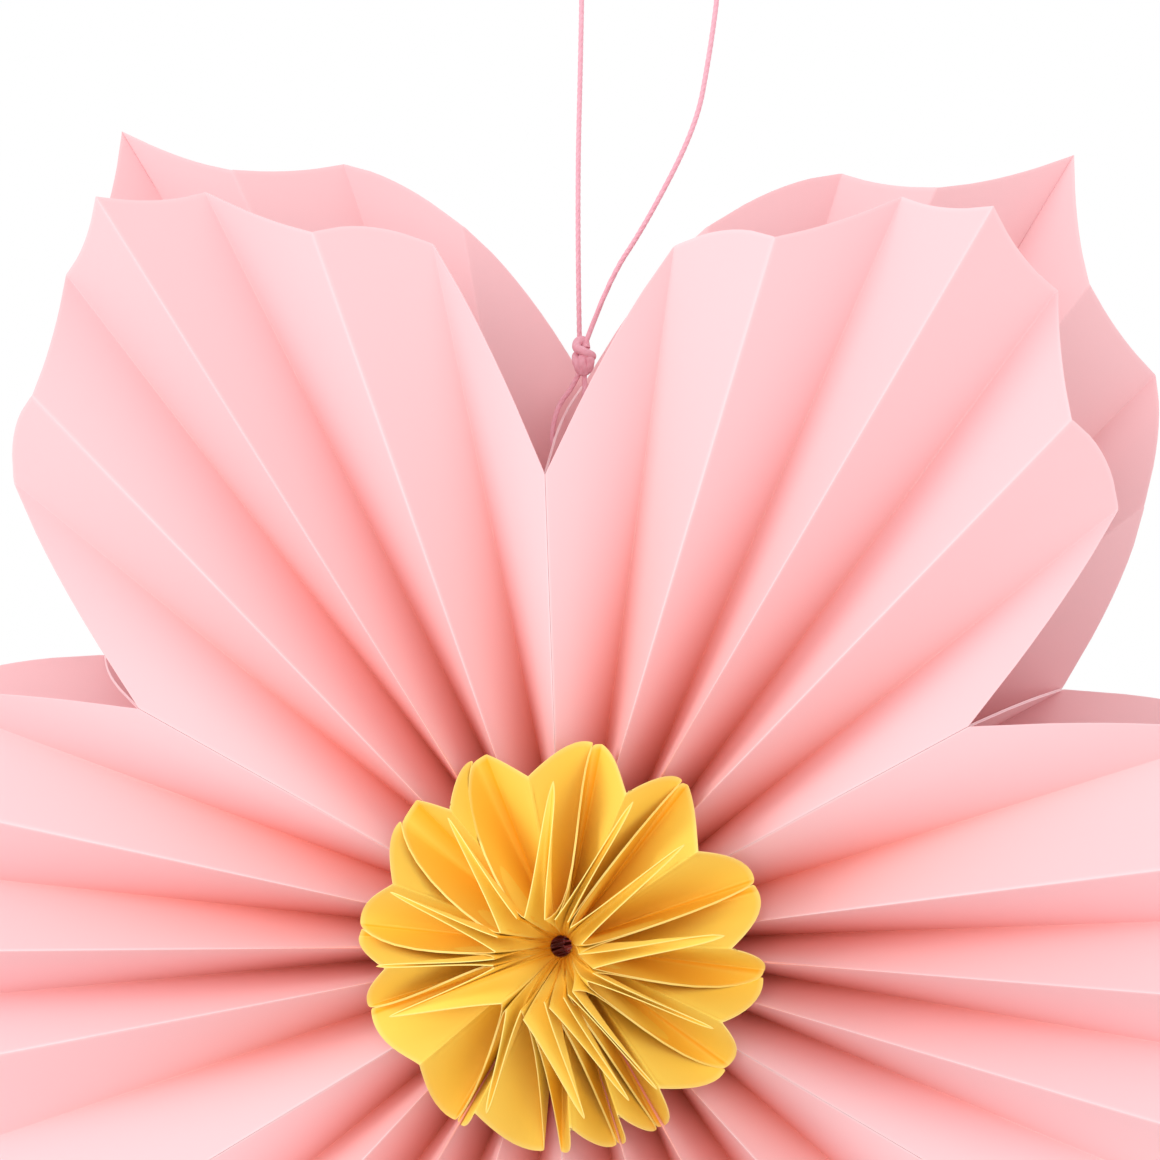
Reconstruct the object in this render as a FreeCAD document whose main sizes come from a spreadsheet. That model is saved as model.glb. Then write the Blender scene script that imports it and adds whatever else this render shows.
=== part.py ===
"""A hanging paper flower: six pleated pink petals around a yellow thirteen-part centre, on a cord.

Every petal is one folded sheet: a pocket, open at its outer end, with two flat sides that are glued
to its neighbours, and with a front and a back gusset folded like a fan. The centre is made the same
way from thirteen smaller pockets with one fold in each gusset.

Frame: the hub axis is Y, the flower faces -Y, +Z is up, and the origin is the middle of the flower.
"""
import FreeCAD, Part
import math
import os

Vector = FreeCAD.Vector

# ---------------------------------------------------------------- driving sizes, in millimetres
SIZES = (
    # petals
    ("petal_count", 6, "pink pockets round the hub"),
    ("petal_paper", 0.25, "thickness of the pink paper"),
    ("petal_hub_radius", 10, "hub axis to the inner end of the pink folds"),
    ("side_depth", 57, "front to back width of a glued side"),
    ("side_radius", 109, "hub axis to the line between the two mouth corners of a glued side"),
    ("outer_valley_radius", 156, "hub axis to the mouth, at the valley next to the side"),
    ("shoulder_radius", 166.5, "the same at the ridge between the two valleys"),
    ("inner_valley_radius", 180.5, "the same at the valley next to the tip"),
    ("tip_radius", 192, "the same at the ridge in the middle of the petal"),
    ("outer_valley_angle", 20.4, "degrees from the petal's middle to the outer valley"),
    ("shoulder_angle", 13, "degrees from the petal's middle to the shoulder ridge"),
    ("inner_valley_angle", 6.1, "degrees from the petal's middle to the inner valley"),
    ("mouth_slant", 0.27, "how much longer a pocket gets for each millimetre towards the back"),
    ("hub_pleat_depth", 21, "depth of the pleats at the hub"),
    ("outer_valley_drop", 7.5, "outer valley behind the side's edge, at the mouth"),
    ("inner_valley_drop", 6.5, "inner valley behind the side's edge, at the mouth"),
    ("shoulder_swell", 5, "shoulder ridge in front of the side's edge, at the mouth"),
    ("tip_swell", 9.5, "tip ridge in front of the side's edge, at the mouth"),
    ("glue_line", 0.15, "gap that the glue fills between two sides"),
    # centre
    ("centre_count", 13, "yellow pockets round the hub"),
    ("centre_turn", 15.6, "degrees from +X to the middle of the first yellow pocket"),
    ("centre_paper", 0.2, "thickness of the yellow paper"),
    ("centre_clearance", 0.3, "gap between the centre and the petals' front ridges"),
    ("centre_hub_radius", 2, "hub axis to the inner end of the yellow folds"),
    ("centre_depth", 36, "height of the crown over the lobes' tips"),
    ("crown_radius", 9.5, "hub axis to the crown's front corners"),
    ("lobe_radius", 43.3, "hub axis to the tip of a lobe"),
    ("notch_radius", 37.3, "hub axis to the notch between two lobes"),
    ("notch_height", 19.8, "height of the notch over the lobes' tips"),
    ("leaf_radius", 35.4, "hub axis to the tip of the slender front leaf"),
    ("leaf_height", 23.2, "height of the leaf's tip over the lobes' tips"),
    ("front_apex", 6, "height on the axis where the front folds would meet"),
    # cord
    ("cord_diameter", 1.1, "twisted paper cord"),
    ("hole_radius", 1.7, "punched hole for the cord, through the two top sides"),
    ("hole_inset", 4, "hole's middle inside the line between the side's two mouth corners"),
    ("knot_width", 4.4, "overhand knot, across"),
    ("knot_height", 8.4, "overhand knot, along the cord"),
    ("knot_shoulder", 0.8, "slope of the knot's two shoulders"),
    ("knot_rise", 20.3, "knot's middle above the hole's middle"),
)

doc = FreeCAD.newDocument("paper_flower")
sheet = doc.addObject("Spreadsheet::Sheet", "Sizes")
for row, (alias, value, meaning) in enumerate(SIZES, start=1):
    sheet.set(f"A{row}", meaning)
    sheet.set(f"B{row}", str(value))
    sheet.setAlias(f"B{row}", alias)

# Places that follow from the sizes. The origin is midway between the crown's front and the petals'
# back ridges.
PLACES = (
    ("middle_plane", "=(centre_depth + centre_clearance - tip_swell) / 2"),
    ("centre_base", "=middle_plane - side_depth / 2 - centre_clearance"),
    ("hole_rise", "=side_radius - hole_inset"),
    ("knot_foot", "=hole_rise + knot_rise - knot_height / 2"),
)
for row, (alias, formula) in enumerate(PLACES, start=len(SIZES) + 1):
    sheet.set(f"A{row}", alias.replace("_", " "))
    sheet.set(f"B{row}", formula)
    sheet.setAlias(f"B{row}", alias)
    doc.recompute()


def size(name):
    return float(sheet.get(name))


# ---------------------------------------------------------------- folded sheets
EDGE_CHORDS = 6  # straight pieces that make up the die-cut edge of one panel
BAND_GROWTH = 1.6  # length of one band of facets over that of the one nearer the hub


def at(angle, radius, depth):
    """A point by its angle from a pocket's middle, its distance from the hub axis and its Y."""
    turn = math.radians(angle)
    return Vector(radius * math.cos(turn), depth, radius * math.sin(turn))


def clear_of_glue(angle):
    """The step inwards from a pocket's flank that leaves the glue its room."""
    return at(angle, size("glue_line") / 2, 0).cross(Vector(0, -math.copysign(1, angle), 0))


class Crease:
    """A straight fold line from the hub to the mouth."""

    def __init__(self, hub, mouth):
        self.hub = hub
        self.mouth = mouth
        self.along = (mouth - hub).normalize()

    def reach(self, share):
        """The point a share of the way from the hub to the mouth."""
        return self.hub + (self.mouth - self.hub) * share


def inner_ring(ring, creases, paper):
    """The same ring on the sheet's inner face: each crease moves in by the paper of both panels."""
    inside = []
    for i, point in enumerate(ring):
        along = creases[i].along
        before = (point - ring[i - 1]).cross(along).normalize()
        after = (ring[(i + 1) % len(ring)] - point).cross(along).normalize()
        # three planes meet there: both panels' inner faces, and the one square to the crease
        shift = after.cross(along) + along.cross(before)
        inside.append(point + shift * (paper / before.dot(after.cross(along))))
    return inside


def cut_edge(start, end, lean_start, lean_end):
    """Points along a panel's die-cut edge: a curve whose ends lean off the chord by two vectors."""
    chord = end - start
    curve = Part.BezierCurve()
    curve.setPoles([start, start + chord / 3 + lean_start, end - chord / 3 + lean_end, end])
    return [start] + [curve.value(step / EDGE_CHORDS) for step in range(1, EDGE_CHORDS)] + [end]


def facet(*corners):
    return Part.Face(Part.makePolygon([*corners, corners[0]]))


def band(near, far, fan_from_last):
    """Flat facets between a row of two points and a longer one, fanned from the row of two."""
    first, last = near
    if fan_from_last:
        apex, rest = last, facet(last, first, far[0])
    else:
        apex, rest = first, facet(first, far[-1], last)
    return [facet(apex, a, b) for a, b in zip(far, far[1:])] + [rest]


def rim(outer, inner):
    """The sheet's cut thickness between two matching rows of points."""
    faces = []
    for a, b, c, d in zip(outer, outer[1:], inner, inner[1:]):
        faces += [facet(a, b, d), facet(a, d, c)]
    return faces


def folded_pocket(creases, leans, bands, paper):
    """The closed solid of a folded sheet.

    creases run once round the pocket, the front ones first. leans shape the die-cut edge of the
    panel after each crease. A panel twists as its pleat opens, so it is made of bands of flat
    facets, each one longer than the one before.
    """
    rings = []
    for row in range(bands + 1):
        share = (BAND_GROWTH ** row - 1) / (BAND_GROWTH ** bands - 1)
        rings.append([crease.reach(share) for crease in creases])
    skins = (rings, [inner_ring(ring, creases, paper) for ring in rings])
    faces = []
    for i in range(len(creases)):
        after = (i + 1) % len(creases)
        rims = []
        for skin in skins:
            rows = [(ring[i], ring[after]) for ring in skin[:-1]]
            rows.append(cut_edge(skin[-1][i], skin[-1][after], *leans[i]))
            for row, (near, far) in enumerate(zip(rows, rows[1:])):
                # a twisted panel breaks along the shorter diagonal of its outer face
                from_last = rings[row][after].distanceToPoint(rings[row + 1][i])
                from_first = rings[row][i].distanceToPoint(rings[row + 1][after])
                faces += band(near, far, from_last < from_first)
            rims.append((rows[0], rows[-1]))
        for outer, inner in zip(*rims):
            faces += rim(outer, inner)
    shell = Part.makeShell(faces)
    shell.sewShape()
    solid = Part.makeSolid(shell)
    if solid.Volume < 0:
        solid.reverse()
    return solid


# ---------------------------------------------------------------- petals
PETAL_BANDS = 6
# how far the die-cut edge of each gusset panel bows out or in, from one side to the petal's middle
PANEL_BOWS = (3.5, 2.5, -1.0, -1.5)
# the edge of a glued side stands off the line between its corners, most near the front
SIDE_BOW_FRONT = 5.5
SIDE_BOW_BACK = 2.5


def petal_shape():
    """A pink petal along +X, whose creases are ridges and valleys by turns."""
    half_angle = 180 / size("petal_count")
    side = size("side_depth") / 2
    valley = side - size("hub_pleat_depth")
    # angle from the middle, mouth radius, and distance from the middle plane at the hub and mouth
    half = [
        (half_angle, size("side_radius"), side, side),
        (size("outer_valley_angle"), size("outer_valley_radius"), valley,
         side - size("outer_valley_drop")),
        (size("shoulder_angle"), size("shoulder_radius"), side, side + size("shoulder_swell")),
        (size("inner_valley_angle"), size("inner_valley_radius"), valley,
         side - size("inner_valley_drop")),
    ]
    tip = (0, size("tip_radius"), side, side + size("tip_swell"))
    across = [(-angle, *rest) for angle, *rest in half] + [tip] + half[::-1]
    creases = []
    for facing, order in ((-1, across), (1, across[::-1])):
        for angle, radius, at_hub, at_mouth in order:
            flank = clear_of_glue(angle) if abs(angle) == half_angle else Vector()
            slanted = radius + size("mouth_slant") * facing * at_mouth
            creases.append(Crease(at(angle, size("petal_hub_radius"), facing * at_hub) + flank,
                                  at(angle, slanted, facing * at_mouth) + flank))

    leans = []
    for flank, side_leans in ((half_angle, (SIDE_BOW_FRONT, SIDE_BOW_BACK)),
                              (-half_angle, (SIDE_BOW_BACK, SIDE_BOW_FRONT))):
        for bow in PANEL_BOWS + PANEL_BOWS[::-1]:
            chord = (creases[len(leans)].mouth, creases[len(leans) + 1].mouth)
            outward = Vector(chord[0].x + chord[1].x, 0, chord[0].z + chord[1].z).normalize()
            # a cubic curve stands off its chord by three quarters of its leans
            leans.append((outward * (bow / 0.75), outward * (bow / 0.75)))
        leans.append([at(flank, lean, 0) for lean in side_leans])
    return folded_pocket(creases, leans, PETAL_BANDS, size("petal_paper"))


# ---------------------------------------------------------------- yellow centre
CENTRE_BANDS = 2


def centre_shape():
    """A yellow pocket along +X: a slender leaf folded in front, a broad notched lobe behind."""
    half_angle = 180 / size("centre_count")

    def crease(angle, apex, radius, height):
        """A fold on a line that leaves the hub axis at a height and ends at a radius and height."""
        flank = clear_of_glue(angle) if angle else Vector()
        start = apex + (height - apex) * size("centre_hub_radius") / radius
        return Crease(at(angle, size("centre_hub_radius"), -start) + flank,
                      at(angle, radius, -height) + flank)

    crown = (size("front_apex"), size("crown_radius"), size("centre_depth"))
    leaf = (size("front_apex"), size("leaf_radius"), size("leaf_height"))
    lobe = (0, size("lobe_radius"), 0)
    notch = (0, size("notch_radius"), size("notch_height"))
    creases = [
        crease(-half_angle, *crown),
        crease(0, *leaf),
        crease(half_angle, *crown),
        crease(half_angle, *lobe),
        crease(0, *notch),
        crease(-half_angle, *lobe),
    ]

    # the leaf's edge is hollow; the lobe's is round, level at its tip, and drops into the notch
    leaf_edge = (Vector(-1, 0, 0), Vector(-2, 0, 0))
    lobe_edge = (Vector(2.4, 0, 0), Vector(1.6, 0, 0))
    # the sides' edge falls in an S: steep under the crown, then out along the lobe
    fall = size("centre_depth")
    length = size("lobe_radius") - size("crown_radius")
    sides = []
    for flank in (half_angle, -half_angle):
        sides.append((at(flank, -0.22 * length, 0.06 * fall), at(flank, 0.05 * length, 0.3 * fall)))
    leans = [leaf_edge, leaf_edge[::-1], sides[0], lobe_edge, lobe_edge[::-1], sides[1][::-1]]
    return folded_pocket(creases, leans, CENTRE_BANDS, size("centre_paper"))


# ---------------------------------------------------------------- placing the sheets
nodes = []


def place(label, shape, turn_expression, plane_expression):
    """A sheet turned about the hub axis and set on its plane."""
    node = doc.addObject("Part::Feature", label)
    node.Shape = shape
    node.Placement = FreeCAD.Placement(Vector(), FreeCAD.Rotation(Vector(0, -1, 0), 1))
    node.setExpression("Placement.Rotation.Angle", turn_expression)
    node.setExpression("Placement.Base.y", plane_expression)
    return node


def punch(node, label):
    """The same sheet with the cord's hole through its flanks at the top."""
    node.Label = label + "_sheet"
    punch_pin = doc.addObject("Part::Cylinder", label + "_hole")
    punch_pin.Placement = FreeCAD.Placement(Vector(), FreeCAD.Rotation(Vector(0, 1, 0), 90))
    punch_pin.setExpression("Radius", "Sizes.hole_radius")
    punch_pin.setExpression("Height", "4 * Sizes.hole_radius")
    punch_pin.setExpression("Placement.Base.x", "-2 * Sizes.hole_radius")
    punch_pin.setExpression("Placement.Base.y", "Sizes.middle_plane")
    punch_pin.setExpression("Placement.Base.z", "Sizes.hole_rise")
    punched = doc.addObject("Part::Cut", label)
    punched.Base = node
    punched.Tool = punch_pin
    return punched


petal = petal_shape()
petal_step = 360 / size("petal_count")
for k in range(int(size("petal_count"))):
    label = f"petal_{k + 1}"
    node = place(label, petal, f"360 deg / Sizes.petal_count * {k}", "Sizes.middle_plane")
    if abs(petal_step * k - 90) <= petal_step / 2:
        node = punch(node, label)
    node.Label = label
    nodes.append(node)

pocket = centre_shape()
for k in range(int(size("centre_count"))):
    turn = f"1 deg * Sizes.centre_turn + 360 deg / Sizes.centre_count * {k}"
    nodes.append(place(f"centre_petal_{k + 1:02d}", pocket, turn, "Sizes.centre_base"))

# ---------------------------------------------------------------- cord
knot_barrel = doc.addObject("Part::Cylinder", "knot_barrel")
knot_barrel.setExpression("Radius", "Sizes.knot_width / 2")
knot_barrel.setExpression("Height", "Sizes.knot_height")
knot_barrel.setExpression("Placement.Base.y", "Sizes.middle_plane")
knot_barrel.setExpression("Placement.Base.z", "Sizes.knot_foot")
doc.recompute()
knot = doc.addObject("Part::Chamfer", "cord_knot")
knot.Base = knot_barrel
knot.Edges = [(i, size("knot_shoulder"), size("knot_shoulder"))
              for i, edge in enumerate(knot_barrel.Shape.Edges, start=1)
              if isinstance(edge.Curve, Part.Circle)]
nodes.append(knot)

CORD_FLATS = 8  # a plain eight-sided section keeps the thin cord's facets few

# Each route is measured from the middle of the knot's end face and starts and ends inside the knot.
# The hanging cord goes up taut on the left, over its hook, and comes down slack on the right.
HANGING_ROUTE = (
    (-0.6, 0, -1.5), (-1.2, 0, 28), (-0.4, 0, 66), (0, 0, 110), (0.6, 0, 122.5), (4.8, 0, 129),
    (11.5, -0.4, 126.5), (20.5, -1, 117.5), (27.4, -2, 104.5), (30.6, -3, 89), (29.6, -3.4, 73.5),
    (27.5, -3, 59), (24.6, -2.2, 44.5), (13.4, -0.8, 23.8), (5.5, 0, 12), (0.3, 0, -1.5),
)
# The tie goes down through the punched hole and back.
TIE_ROUTE = (
    (-0.4, 0, 1), (-1.9, 0, -5.6), (-3, 0, -11.1), (-2.7, 0, -13.8), (-1.3, 0, -15.2),
    (1.3, 0, -15.2), (2.5, 0, -13.8), (2.7, 0, -11.1), (1.6, 0, -5.6), (0.4, 0, 1),
)


def tangent_path(points):
    """A wire of straight runs joined by arcs, each as large as its two runs allow."""
    edges = []
    radii = []
    reached = points[0]
    for before, corner, after in zip(points, points[1:], points[2:]):
        arriving = (corner - before).normalize()
        leaving = (after - corner).normalize()
        half_turn = arriving.getAngle(leaving) / 2
        cut = 0.45 * min((corner - before).Length, (after - corner).Length)
        radius = cut / math.tan(half_turn)
        start, end = corner - arriving * cut, corner + leaving * cut
        inwards = (leaving - arriving).normalize()
        middle = corner + inwards * (radius / math.cos(half_turn) - radius)
        edges.append(Part.makeLine(reached, start))
        edges.append(Part.Arc(start, middle, end).toShape())
        radii.append(radius)
        reached = end
    edges.append(Part.makeLine(reached, points[-1]))
    return Part.Wire(edges), radii


def cord(label, route, height_expression):
    """A cord swept along a route, and cut off where it meets the knot."""
    points = [Vector(*point) for point in route]
    wire, radii = tangent_path(points)
    path = doc.addObject("Part::Feature", label + "_path")
    path.Shape = wire
    profile = doc.addObject("Part::RegularPolygon", label + "_profile")
    profile.Polygon = CORD_FLATS
    profile.setExpression("Circumradius", "Sizes.cord_diameter / 2")
    facing = FreeCAD.Rotation(Vector(0, 0, 1), points[1] - points[0])
    profile.Placement = FreeCAD.Placement(points[0], facing)
    swept = doc.addObject("Part::Sweep", label + "_sweep")
    swept.Sections = [profile]
    swept.Spine = (path, [f"Edge{i + 1}" for i in range(len(wire.Edges))])
    swept.Solid = True
    swept.setExpression("Placement.Base.y", "Sizes.middle_plane")
    swept.setExpression("Placement.Base.z", height_expression)
    meeting = doc.addObject("Part::Cut", label)
    meeting.Base = swept
    meeting.Tool = knot
    doc.recompute()
    section = Part.Face(profile.Shape).Area
    print(label, "length", round(wire.Length, 1), "arc radii", [round(radius, 1) for radius in radii],
          "volume over section times length", round(swept.Shape.Volume / section / wire.Length, 4))
    return meeting


nodes.append(cord("hanging_cord", HANGING_ROUTE, "Sizes.knot_foot + Sizes.knot_height"))
nodes.append(cord("tie_loop", TIE_ROUTE, "Sizes.knot_foot"))

# ---------------------------------------------------------------- checks and files
doc.recompute()
for item in doc.Objects:
    faults = [state for state in item.State if state in ("Invalid", "Error")]
    if faults:
        raise RuntimeError(f"{item.Name}: {faults}")
for node in nodes:
    if node.Shape.isNull() or not node.Shape.isValid():
        raise RuntimeError(f"{node.Label}: its shape is null or not valid")
os.makedirs("parts", exist_ok=True)
for node in nodes:
    node.Shape.exportStep(f"parts/{node.Label}.step")
print(len(nodes), "nodes,", sum(len(node.Shape.Solids) for node in nodes), "solids")
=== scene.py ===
"""Looks of a hanging paper flower: six pleated pink petals, a yellow centre and a twisted cord.

Every size below is in millimetres, apart from the lamps', and becomes metres where a mesh or a
curve is written.
"""
import math

import bpy
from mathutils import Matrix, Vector


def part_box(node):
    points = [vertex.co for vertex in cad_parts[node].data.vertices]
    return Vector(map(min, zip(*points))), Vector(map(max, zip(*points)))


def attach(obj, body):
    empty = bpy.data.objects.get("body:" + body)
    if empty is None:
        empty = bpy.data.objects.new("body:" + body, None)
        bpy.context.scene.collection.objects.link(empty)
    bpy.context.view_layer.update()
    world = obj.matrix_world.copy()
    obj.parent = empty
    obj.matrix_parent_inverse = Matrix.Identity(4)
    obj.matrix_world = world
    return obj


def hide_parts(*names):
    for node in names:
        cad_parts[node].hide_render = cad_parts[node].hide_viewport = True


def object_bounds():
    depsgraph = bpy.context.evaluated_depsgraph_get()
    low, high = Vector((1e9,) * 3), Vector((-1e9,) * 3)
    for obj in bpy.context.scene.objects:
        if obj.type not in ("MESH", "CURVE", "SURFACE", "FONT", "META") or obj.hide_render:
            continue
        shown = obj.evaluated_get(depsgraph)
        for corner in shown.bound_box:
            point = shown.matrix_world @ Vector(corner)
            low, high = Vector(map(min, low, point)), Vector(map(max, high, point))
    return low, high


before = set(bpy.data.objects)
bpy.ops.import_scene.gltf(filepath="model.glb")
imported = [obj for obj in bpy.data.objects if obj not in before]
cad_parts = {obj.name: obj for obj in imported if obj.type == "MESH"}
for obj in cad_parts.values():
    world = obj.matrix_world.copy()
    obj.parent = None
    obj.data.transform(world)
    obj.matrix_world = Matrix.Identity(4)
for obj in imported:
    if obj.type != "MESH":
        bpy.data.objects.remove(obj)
cad_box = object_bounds()
bpy.ops.object.select_all(action="DESELECT")

# ---------------------------------------------------------------- camera
# A long lens, level with the flower's upper half and a little to the right of its axis. The view is
# square and takes in the two top petals, the centre and the knot.
MM = 0.001
CAMERA_AZIMUTH = 9.5
CAMERA_ELEVATION = -0.6
CAMERA_DISTANCE = 1500
CAMERA_AIM = Vector((3.9, -15.3, 77.0))
VIEW_WIDTH = 244.2  # at the aim
SENSOR_WIDTH = 36
CLIP_DISTANCE = 10000

azimuth = math.radians(CAMERA_AZIMUTH)
elevation = math.radians(CAMERA_ELEVATION)
backwards = Vector((math.sin(azimuth) * math.cos(elevation),
                    -math.cos(azimuth) * math.cos(elevation), math.sin(elevation)))
bpy.ops.object.camera_add(location=(CAMERA_AIM + backwards * CAMERA_DISTANCE) * MM,
                          rotation=backwards.to_track_quat("Z", "Y").to_euler())
camera = bpy.context.object
camera.name = "camera"
camera.data.sensor_width = SENSOR_WIDTH
camera.data.lens = SENSOR_WIDTH * CAMERA_DISTANCE / VIEW_WIDTH
camera.data.clip_end = CLIP_DISTANCE * MM
bpy.context.scene.camera = camera

# ---------------------------------------------------------------- cord and knot
# Thin paper cord of three plies, twisted hard. It is tied into a loop through the hole punched in
# the two top sides, closed by an overhand knot, and runs up from the knot over a hook and back.
CORD_DIAMETER = 1.1
CORD_PLIES = 3
PLY_PITCH = 4.4  # length of cord in which a ply goes once round
PLY_GROOVE = 0.07  # how deep the groove between two plies is
PLY_SIDES = 8  # points of the cord's cross section for each ply
CORD_CREASE = 60  # degrees between two faces from which their edge stays sharp
knot_low, knot_high = (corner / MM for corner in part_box("cord_knot"))
knot_middle = (knot_low + knot_high) / 2
knot_top = Vector((knot_middle.x, knot_middle.y, knot_high.z))
knot_foot = Vector((knot_middle.x, knot_middle.y, knot_low.z))


def smooth_line(name, origin, route, steps):
    """A NURBS line whose control points are a route measured from an origin."""
    data = bpy.data.curves.new(name, "CURVE")
    data.dimensions = "3D"
    spline = data.splines.new("NURBS")
    spline.points.add(len(route) - 1)
    for point, place in zip(spline.points, route):
        point.co = (*(origin + Vector(place)) * MM, 1)
    spline.order_u = 3
    spline.use_endpoint_u = True
    data.resolution_u = steps
    line = bpy.data.objects.new(name, data)
    bpy.context.collection.objects.link(line)
    return line


def line_points(line):
    """The points of a line's own smooth path, in metres."""
    bpy.context.view_layer.update()
    depsgraph = bpy.context.evaluated_depsgraph_get()
    mesh = bpy.data.meshes.new_from_object(line.evaluated_get(depsgraph))
    points = [vertex.co.copy() for vertex in mesh.vertices]
    bpy.data.meshes.remove(mesh)
    return points


def ply_section(diameter):
    """The cord's cross section: three round plies pressed together."""
    data = bpy.data.curves.new("ply_section", "CURVE")
    spline = data.splines.new("POLY")
    steps = PLY_SIDES * CORD_PLIES
    spline.points.add(steps - 1)
    for step, point in enumerate(spline.points):
        turn = 2 * math.pi * step / steps
        radius = diameter / 2 - PLY_GROOVE * (1 - abs(math.cos(CORD_PLIES * turn / 2)))
        point.co = (radius * math.cos(turn) * MM, radius * math.sin(turn) * MM, 0, 1)
    spline.use_cyclic_u = True
    section = bpy.data.objects.new("ply_section", data)
    bpy.context.collection.objects.link(section)
    return section


def twisted_cord(name, origin, route, steps, diameter):
    """A closed mesh of twisted plies along a route, and the points that it follows."""
    line = smooth_line(name, origin, route, steps)
    path = line_points(line)
    lengths = [0.0]
    for before, after in zip(path, path[1:]):
        lengths.append(lengths[-1] + (after - before).length / MM)
    spline = line.data.splines[0]
    spans = len(spline.points) - 2
    for i, point in enumerate(spline.points):
        # a control point of a line of order 3 pulls half a span before its own place
        along = min(max(i - 0.5, 0), spans) / spans
        point.tilt = 2 * math.pi * lengths[round(along * (len(lengths) - 1))] / PLY_PITCH
    section = ply_section(diameter)
    line.data.bevel_mode = "OBJECT"
    line.data.bevel_object = section
    line.data.use_fill_caps = True
    line.select_set(True)
    bpy.context.view_layer.objects.active = line
    bpy.ops.object.convert(target="MESH")
    bpy.ops.object.shade_smooth_by_angle(angle=math.radians(CORD_CREASE))
    bpy.ops.object.select_all(action="DESELECT")
    bpy.data.objects.remove(section)
    return line, path


# the routes start from the knot: up from its top, down from its foot, and round its middle
HANGING_ROUTE = (
    (-1.0, 0, -1.5), (-1.6, 0, 28), (-0.6, 0, 66), (0, 0, 110), (0.6, 0, 122.5), (4.8, 0, 129),
    (11.5, -0.4, 126.5), (20.5, -1, 117.5), (27.4, -2, 104.5), (30.6, -3, 89), (29.6, -3.4, 73.5),
    (27.5, -3, 59), (24.6, -2.2, 44.5), (13.4, -0.8, 23.8), (5.2, 0, 12), (0.3, 0, -1.5),
)
TIE_ROUTE = (
    (-0.9, 0, 1), (-2.6, -0.2, -2.6), (-5.0, -0.8, -5.6), (-6.1, -2.0, -9.0), (-6.4, -3.4, -12.6),
    (-6.2, -4.0, -15.4), (-4.0, -4.1, -16.4), (-1.9, -3.9, -15.3), (-1.5, -3.2, -13.2),
    (-1.0, -2, -9.8), (0.5, -0.8, -5.4), (0, 0, 1),
)
KNOT_ROUTE = (
    (0.3, 0.2, 1.8), (0.2, 0.6, 3.0), (-0.5, 0.3, 3.6), (-1.2, -0.2, 3.3), (-1.6, -0.9, 2.4),
    (-1.3, -1.4, 1.6), (0, -1.7, 1.1), (1.1, -1.5, 0.5), (1.8, -0.6, 0.1), (1.5, 0.6, -0.2),
    (0.3, 1.2, 0.2), (-1.1, 0.9, 0.5), (-1.7, 0, 0.2), (-1.6, -0.8, -0.8), (-1.2, -0.9, -2.0),
    (-0.8, -0.5, -3.1), (0, 0, -3.3), (0.9, -0.4, -2.9), (1.4, -0.9, -1.8), (1.5, -1.1, -0.7),
    (0.8, -1.1, 0.1), (-0.1, -1.0, 0), (-0.2, -1.5, -1.2), (0.1, -1.2, -2.4), (0, -0.5, -3.6),
)
KNOT_STRAND = 2  # two strands lie together in its turns
hanging_cord, hanging_path = twisted_cord("hanging_cord_plies", knot_top, HANGING_ROUTE,
                                          steps=140, diameter=CORD_DIAMETER)
tie_loop, tie_path = twisted_cord("tie_loop_plies", knot_foot, TIE_ROUTE,
                                  steps=60, diameter=CORD_DIAMETER)
cord_knot, _ = twisted_cord("cord_knot_plies", knot_middle, KNOT_ROUTE,
                            steps=24, diameter=KNOT_STRAND)


def new_group(name, inputs, outputs):
    """An empty shader node group with its named sockets: its nodes, links and two end nodes."""
    group = bpy.data.node_groups.new(name, "ShaderNodeTree")
    for sockets, side in ((inputs, "INPUT"), (outputs, "OUTPUT")):
        for socket, kind in sockets:
            group.interface.new_socket(socket, in_out=side, socket_type="NodeSocket" + kind)
    nodes = group.nodes
    return group, nodes, group.links, nodes.new("NodeGroupInput"), nodes.new("NodeGroupOutput")


def placed(nodes, group, name, values):
    """A group placed in a material with its own values."""
    place = nodes.new("ShaderNodeGroup")
    place.node_tree = group
    place.name = name
    for socket, value in values.items():
        place.inputs[socket].default_value = value
    return place


def new_material(name):
    """A new material, its nodes and its links."""
    material = bpy.data.materials.new(name)
    material.use_nodes = True
    return material, material.node_tree.nodes, material.node_tree.links


def add_bump(nodes, links, height, shader, strength, distance):
    """Small relief from a height, at most a distance in millimetres deep."""
    bump = nodes.new("ShaderNodeBump")
    bump.inputs["Strength"].default_value = strength
    bump.inputs["Distance"].default_value = distance * MM
    links.new(height, bump.inputs["Height"])
    links.new(bump.outputs["Normal"], shader.inputs["Normal"])


# the fibres of every paper here: two shades mixed by fine noise, and the noise as a height
paper_fibre, nodes, links, given, result = new_group(
    "paper_fibre", (("Dark", "Color"), ("Light", "Color"), ("Scale", "Float")),
    (("Color", "Color"), ("Height", "Float")))
coordinates = nodes.new("ShaderNodeTexCoord")
fibre = nodes.new("ShaderNodeTexNoise")
fibre.inputs["Detail"].default_value = 4
links.new(coordinates.outputs["Object"], fibre.inputs["Vector"])
links.new(given.outputs["Scale"], fibre.inputs["Scale"])
shade = nodes.new("ShaderNodeMix")
shade.data_type = "RGBA"
links.new(fibre.outputs["Fac"], shade.inputs["Factor"])
links.new(given.outputs["Dark"], shade.inputs["A"])
links.new(given.outputs["Light"], shade.inputs["B"])
links.new(shade.outputs["Result"], result.inputs["Color"])
links.new(fibre.outputs["Fac"], result.inputs["Height"])

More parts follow.
